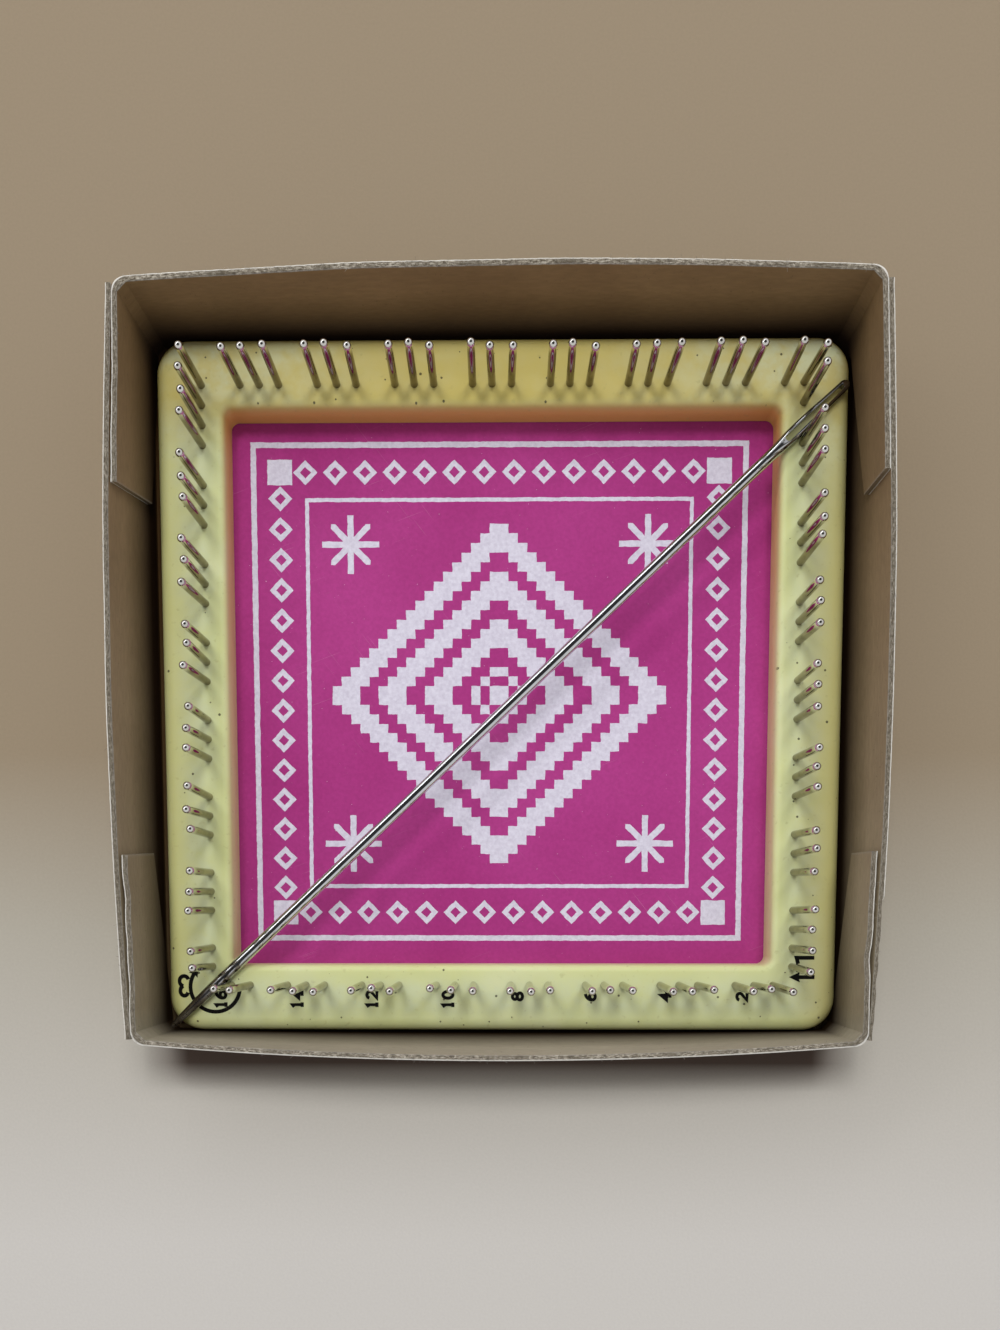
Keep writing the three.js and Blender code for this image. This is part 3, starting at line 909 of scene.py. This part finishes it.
turn_head = (1.9 * MM, 1.8 * MM)
turn_head_reach = 1.4 * MM
head_notch = 0.85
figure_middle = 0.36
figure_step = 15
figure_least_steps = 6


def bend(x, y, across, up, start, end):
    """Points on part of an oval in a figure's own square, with its angles in degrees."""
    circle = arc((0, 0), 1, start, end, max(figure_least_steps, round(abs(end - start) / figure_step)))
    return [(x + across * a, y + up * b) for a, b in circle]


figures = {
    "0": [bend(0.36, 0.5, 0.29, 0.48, 0, 360)],
    "1": [[(0.18, 0.8), (0.38, 0.98), (0.38, 0.02)], [(0.18, 0.02), (0.58, 0.02)]],
    "2": [bend(0.36, 0.7, 0.29, 0.28, 170, -40) + [(0.06, 0.02), (0.68, 0.02)]],
    "3": [bend(0.34, 0.74, 0.26, 0.24, 160, -80), bend(0.34, 0.26, 0.3, 0.25, 80, -160)],
    "4": [
        [(0.5, 0.02), (0.5, 0.98), (0.04, 0.34), (0.78, 0.34)],
        [(0.44, 0.75), (0.3, 0.42)],
        [(0.26, 0.02), (0.74, 0.02)],
    ],
    "6": [bend(0.36, 0.29, 0.29, 0.27, 0, 360), bend(0.66, 0.32, 0.6, 0.66, 180, 97)],
    "8": [bend(0.36, 0.26, 0.3, 0.25, 0, 360), bend(0.36, 0.75, 0.25, 0.23, 0, 360)],
}


def set_figures(text, centre, height, breadth, turn):
    """The strokes of a number, set round its centre and turned."""
    strokes = []
    rotate = Matrix.Rotation(math.radians(turn), 2)
    for i, figure in enumerate(text):
        left = (i - (len(text) - 1) / 2) * number_pitch - figure_middle * breadth * height
        for stroke in figures[figure]:
            placed = [rotate @ Vector((left + x * height * breadth, (y - 0.5) * height)) for x, y in stroke]
            strokes.append([tuple(p + Vector(centre)) for p in placed])
    return strokes


def lay_ink(bm, outline, surface, lift):
    """A closed film of ink over a flat outline, dropped onto the surface under it."""
    levels = []
    for rise in (-ink_thickness, ink_thickness + lift):
        level = []
        for x, y in outline:
            at = Vector((x + loom_centre.x, y + loom_centre.y, frame_top + ink_drop))
            hit = surface.ray_cast(at, Vector((0, 0, -1)))[0]
            level.append(bm.verts.new((at.x, at.y, hit.z + rise)))
        levels.append(level)
    return levels


def ink_stroke(bm, points, width, surface, lift):
    """A stroke of even width along a line, as a row of small films that share their edges."""
    line = [Vector(p) for p in points]
    closed = (line[0] - line[-1]).length < width / 10
    if closed:
        line = line[:-1]
    left, right = [], []
    for i, at in enumerate(line):
        before = line[i - 1] if i or closed else at
        after = line[(i + 1) % len(line)] if i + 1 < len(line) or closed else at
        arrive = (at - before).normalized() if at != before else (after - at).normalized()
        leave = (after - at).normalized() if after != at else arrive
        across = Vector((-(arrive + leave).y, (arrive + leave).x)).normalized()
        reach = width / 2 / max(mitre_limit, across.dot(Vector((-leave.y, leave.x))))
        left.append(at + across * reach)
        right.append(at - across * reach)
    low_left, high_left = lay_ink(bm, left, surface, lift)
    low_right, high_right = lay_ink(bm, right, surface, lift)
    for i in range(len(line) if closed else len(line) - 1):
        j = (i + 1) % len(line)
        bm.faces.new([high_left[i], high_left[j], high_right[j], high_right[i]])
        bm.faces.new([low_left[i], low_right[i], low_right[j], low_left[j]])
        bm.faces.new([low_left[i], low_left[j], high_left[j], high_left[i]])
        bm.faces.new([low_right[i], high_right[i], high_right[j], low_right[j]])
    if not closed:
        for i in (0, -1):
            bm.faces.new([low_left[i], high_left[i], high_right[i], low_right[i]])


def ink_head(bm, tip, direction, size, surface):
    """A filled arrowhead, whose size is its length and width."""
    along = direction.normalized() * size[0]
    across = Vector((-along.y, along.x)).normalized() * size[1] / 2
    outline = [tip, tip - along + across, tip - along * head_notch, tip - along - across]
    low, high = lay_ink(bm, outline, surface, ink_layers * ink_lift)
    bm.faces.new(high)
    bm.faces.new(list(reversed(low)))
    bridge(bm, low, high)


def ink_finish():
    """Dull black printing ink, rubbed thin in places."""
    finish, shader, place = new_finish("black_ink")
    rubbed = grain(place, 0.35 * MM, 4)
    tone = ramp(rubbed, (0.4, (9, 9, 9)), (0.64, (19, 18, 16)), (0.8, (70, 67, 48)))
    dull = ramp(rubbed, (0.4, 0.5), (0.7, 0.7))
    plug(shader, {"Base Color": tone, "Roughness": dull, "Specular IOR Level": 0.2})
    return finish


bm = bmesh.new()
surface = BVHTree.FromObject(loom_frame, bpy.context.evaluated_depsgraph_get())
drawn = []
for text, x in count_marks.items():
    place = (x * MM, number_lines[len(text)])
    for stroke in set_figures(text, place, number_height, number_breadth, number_turn):
        drawn.append((stroke, number_stroke))
turn_line = arc(turn_centre, turn_radius, *turn_sweep, 30)
corner_number = ("3", corner_number_place, corner_number_height, corner_number_breadth, corner_number_turn)
for stroke in set_figures(*corner_number) + [start_tick, arrow_shaft, turn_line]:
    drawn.append((stroke, bold_stroke))
for i, (stroke, width) in enumerate(drawn):
    ink_stroke(bm, stroke, width, surface, ink_lift * (i % ink_layers))
ink_head(bm, arrow_tip, Vector((-1, 0)), arrow_head, surface)
turn_end = Vector(turn_line[-1])
turn_way = turn_end - Vector(turn_line[-2])
ink_head(bm, turn_end + turn_way.normalized() * turn_head_reach, turn_way, turn_head, surface)
marks = finished(bm, "printed_marks", ink_finish(), sharp=30)
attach(marks, "loom")


# Needle: a long polished steel rod with a blunt point, flattened at the other end and pierced with an eye.
# It lies across the frame against two pins. The point has tarnished dark where fingers hold it.
needle_low, needle_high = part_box("needle")
needle_radius = 2 * MM / 2
needle_sides = 32
needle_step = 1.2 * MM
point_radius = 1 * MM / 2
point_taper = 12 * MM
point_rings = 8
eye_half_width = 2.5 * MM / 2
eye_half_depth = 1.4 * MM / 2
eye_end_depth = 0.25
eye_end_rings = 10
eye_squareness = 0.8
eye_tip_share = 0.72
eye_neck = 7 * MM
eye_edge = 0.14 * MM
eye_edge_angle = 50
slot_length = 13.4 * MM
slot_width = 1.1 * MM
slot_end_wall = 1.2 * MM
slot_depth = 2 * MM


def needle_line():
    """The needle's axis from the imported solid: the middle of its point, its direction and its length."""
    spots = np.array([v.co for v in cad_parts["needle"].data.vertices])
    middle = spots.mean(0)
    along = np.linalg.svd(spots - middle, full_matrices=False)[2][0]
    along *= math.copysign(1, along[0])
    reach = (spots - middle) @ along
    sideways = np.array([-along[1], along[0], 0])
    off = (spots - middle) @ sideways
    centre = middle + sideways * (off.max() + off.min()) / 2
    start = centre + along * reach.min()
    level = (needle_low.z + needle_high.z) / 2
    return Vector((start[0], start[1], level)), math.atan2(along[1], along[0]), reach.max() - reach.min()


def needle_section(at, length):
    """Half width, half depth and squareness of the needle at a distance from its point."""
    eye_start = length - slot_end_wall - slot_length - eye_neck / 2
    if at < point_radius:
        radius = math.sqrt(max(0, point_radius**2 - (point_radius - at) ** 2))
    else:
        swell = math.sin(min(1, at / point_taper) * math.pi / 2)
        radius = point_radius + (needle_radius - point_radius) * swell
    flat = ease(eye_start, eye_start + eye_neck, at)
    narrowing = 1 - (1 - eye_tip_share) * ease(length - slot_length, length, at)
    width = radius + (eye_half_width * narrowing - radius) * flat
    depth = radius + (eye_half_depth - radius) * flat
    tail = max(0, at - (length - eye_half_width)) / eye_half_width
    close = math.sqrt(max(0, 1 - tail**2))
    thinning = eye_end_depth + (1 - eye_end_depth) * close
    return width * close, depth * thinning, 2 + eye_squareness * flat


def needle_ring(bm, at, length):
    """One cross-section of the needle as a ring of vertices, along X from its point."""
    width, depth, square = needle_section(at, length)
    ring = []
    for i in range(needle_sides):
        turn = math.tau * i / needle_sides
        round_place = (math.cos(turn), math.sin(turn))
        side, rise = [math.copysign(abs(v) ** (2 / square), v) for v in round_place]
        ring.append(bm.verts.new((at, width * side, depth * rise)))
    return ring


def eye_cutter(length):
    """The long slot with round ends that is pierced through the flattened end."""
    bm = bmesh.new()
    half = slot_width / 2
    start = length - slot_end_wall - slot_length + half
    end = length - slot_end_wall - half
    outline = arc((end, 0), half * eye_tip_share, -90, 90, 12) + arc((start, 0), half, 90, 270, 12)
    low, high = [[bm.verts.new((x, y, z)) for x, y in outline] for z in (-slot_depth, slot_depth)]
    bm.faces.new(high)
    bm.faces.new(list(reversed(low)))
    bridge(bm, low, high)
    return bm


def steel_finish(start, turn, length):
    """Polished steel drawn lengthwise, with rubbed dull streaks, and a brown, pitted point."""
    finish, shader, place = new_finish("needle_steel")
    tree = finish.node_tree
    moved = node(tree, "ShaderNodeMapping", {"Vector": place, "Location": -start})
    laid = node(tree, "ShaderNodeMapping", {"Vector": moved, "Rotation": (0, 0, -turn)})
    share = part_of(axes(laid)[0], length)
    streaks = grain(place, 0.25 * MM, 3, (40, 1, 1), turn)
    blotches = grain(place, 2.2 * MM, 4)
    pits = grain(place, 0.5 * MM, 3)
    near_point = ramp(share, (0.0, 1.0), (0.055, 0.8), (0.13, 0.0))
    near_eye = ramp(share, (0.88, 0.0), (0.93, 0.8))
    dark = times(near_point, ramp(blotches, (0.3, 0.35), (0.6, 1.0)))
    tone = ramp(streaks, (0.3, (206, 208, 211)), (0.7, (222, 223, 226)))
    tone = blend(ramp(blotches, (0.6, 0.0), (0.8, 0.4)), tone, (140, 134, 126))
    dulled = ramp(streaks, (0.35, (104, 104, 108)), (0.65, (142, 142, 145)))
    tone = blend(near_eye, tone, dulled)
    tone = blend(dark, tone, (92, 83, 76))
    pitted = times(near_point, ramp(pits, (0.6, 0.0), (0.68, 1.0)))
    tone = blend(pitted, tone, (38, 31, 27))
    smooth = ramp(streaks, (0.3, 0.05), (0.7, 0.11))
    smooth = blend(dark, smooth, 0.3)
    plug(shader, {"Base Color": tone, "Roughness": smooth, "Metallic": 1})
    relief(shader, times(near_point, pits), 0.03 * MM, 0.6)
    return finish


needle_start, needle_turn, needle_length = needle_line()
bm = bmesh.new()
quarter = math.pi / 2
tip_turns = [quarter * t / point_rings for t in range(1, point_rings + 1)]
tail_turns = [quarter * t / eye_end_rings for t in range(1, eye_end_rings)]
tail_start = needle_length - eye_half_width
stations = [point_radius * (1 - math.cos(turn)) for turn in tip_turns]
stations += steps(point_radius, tail_start, needle_step)[1:]
stations += [tail_start + eye_half_width * math.sin(turn) for turn in tail_turns]
needle_rings = [needle_ring(bm, at, needle_length) for at in stations]
for near, far in zip(needle_rings, needle_rings[1:]):
    bridge(bm, near, far)
for ring, at in ((needle_rings[0], 0.0), (needle_rings[-1], needle_length)):
    pole = bm.verts.new((at, 0, 0))
    for i in range(needle_sides):
        bm.faces.new([ring[i], ring[(i + 1) % needle_sides], pole])
steel = steel_finish(needle_start, needle_turn, needle_length)
blank = finished(bm, "needle_blank", steel)
cutter = finished(eye_cutter(needle_length), "eye_cutter", steel)
pierce = blank.modifiers.new("pierce", "BOOLEAN")
pierce.object = cutter
pierce.solver = "EXACT"
soften = blank.modifiers.new("soften", "BEVEL")
soften.width = eye_edge
soften.segments = 3
soften.limit_method = "ANGLE"
soften.angle_limit = math.radians(eye_edge_angle)
needle_mesh = shaped(blank)
for spare in (blank, cutter):
    bpy.data.objects.remove(spare)
needle_mesh.transform(Matrix.Translation(needle_start) @ Matrix.Rotation(needle_turn, 4, "Z"))
needle_mesh.shade_smooth()
needle = added("weaving_needle", needle_mesh)
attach(needle, "needle")
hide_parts("needle")


# Studio: a pale floor with a painted shadow by the near wall, two soft lamps, and a strip lamp for the
# metal's bright lines.
# The light comes over the far wall, so that wall's inside lies in shade and the near wall is lit.
# A dome of fill light is dark straight overhead, where the viewer would stand in the light.
floor_half = 3.0
floor_fade = 1 / 3
shade_inside = 10 * MM
shade_outside = 12 * MM
shade_side = 80 * MM
lamp_distance = 1.5
lamp_size = 0.42
lamp_power = 6.8
lamp_height = 64
lamp_spread = 28
strip_length = 2.2
strip_breadth = 0.14
strip_power = 4.6
strip_height = 40
fill_strength = 0.8
overhead_lean = math.radians(6)


def floor_finish():
    """Plain matt paper, paler towards the viewer, with a painted dark, warm shadow close beside the near
    wall.
    """
    finish, shader, place = new_finish("pale_floor")
    x, y, z = axes(place)
    lengthwise = calc("ADD", part_of(y, floor_fade), 0.5)
    tone = ramp(lengthwise, (0.19, (192, 188, 183)), (0.37, (166, 160, 148)), (0.47, (143, 128, 107)))
    # Painted shadow: a dark, warm band just outside the tray's near wall, fading outwards and past its
    # corners.
    out = calc("SUBTRACT", shade_inside - end_face, y)
    out = part_of(out, shade_inside + shade_outside)
    close = ramp(out, (0.0, 0.0), (0.3, 1.0), (0.72, 0.95), (0.8, 0.6), (0.97, 0.0))
    sideways = part_of(calc("ABSOLUTE", x), shade_side)
    shade = times(close, ramp(sideways, (0.74, 1.0), (0.85, 0.0)))
    tone = blend(shade, tone, (60, 42, 32))
    tooth = grain(place, 0.5 * MM, 3)
    tone = blend(0.06, tone, ramp(tooth, (0.3, 0.3), (0.7, 0.7)), "OVERLAY")
    plug(shader, {"Base Color": tone, "Roughness": 0.9})
    relief(shader, tooth, 0.02 * MM)
    return finish


bm = bmesh.new()
corners = ((-1, -1), (1, -1), (1, 1), (-1, 1))
bm.faces.new([bm.verts.new((x * floor_half, y * floor_half, 0)) for x, y in corners])
floor = finished(bm, "floor", floor_finish())


def hang_lamp(name, shape, size, power, around, up):
    """An area lamp aimed at the tray from a direction, in degrees round from +X and up from the floor."""
    lamp_data = bpy.data.lights.new(name, "AREA")
    lamp_data.shape = shape
    lamp_data.size = size
    lamp_data.energy = power
    lamp = added(name, lamp_data)
    raised = Matrix.Rotation(math.radians(-up), 3, "Y") @ Vector((1, 0, 0))
    aim = Matrix.Rotation(math.radians(around), 3, "Z") @ raised
    lamp.location = aim * lamp_distance
    lamp.rotation_euler = aim.to_track_quat("Z", "Y").to_euler()
    return lamp


for side in (-1, 1):
    soft = hang_lamp("soft_lamp", "DISK", lamp_size, lamp_power, 90 + side * lamp_spread, lamp_height)
    soft.visible_glossy = False
strip_around = 90 + math.degrees(needle_turn)
strip = hang_lamp("strip_lamp", "RECTANGLE", strip_length, strip_power, strip_around, strip_height)
strip.data.size_y = strip_breadth

world = bpy.data.worlds.new("studio")
world.use_nodes = True
bpy.context.scene.world = world
sky = world.node_tree
direction = node(sky, "ShaderNodeTexCoord").outputs["Generated"]
dome = ramp(axes(direction)[2], (0.0, 0.6), (0.25, 0.9))
dark_axis = Vector((0, math.sin(overhead_lean), math.cos(overhead_lean)))
toward = node(sky, "ShaderNodeVectorMath", {0: direction, 1: dark_axis}, operation="DOT_PRODUCT")
overhead = ramp(toward.outputs["Value"], (0.8, 0.0), (0.86, 0.95))
dome = blend(overhead, dome, 0.0)
plug(sky.nodes["Background"], {"Color": dome, "Strength": fill_strength})
bpy.context.scene.view_settings.view_transform = "Standard"


# Viewpoint: close above the near edge of the tray, looking almost straight down.
# The picture is a crop from above the lens axis, so the camera is shifted to keep the walls' perspective.
image_width = 1000
image_height = 1330
focal_pixels = 997.5
axis_pixel = (496.5, 985)
camera_place = (1.45 * MM, -40.16 * MM, 187.95 * MM)
camera_turn = (-4.034, 0.584, 0.013)
camera_data = bpy.data.cameras.new("viewpoint")
camera_data.sensor_width = 36
camera_data.lens = focal_pixels * camera_data.sensor_width / image_height
camera_data.shift_x = (image_width / 2 - axis_pixel[0]) / image_height
camera_data.shift_y = (axis_pixel[1] - image_height / 2) / image_height
camera_data.clip_start = 0.01
camera = added("viewpoint", camera_data)
camera.location = camera_place
camera.rotation_euler = [math.radians(a) for a in camera_turn]
bpy.context.scene.camera = camera
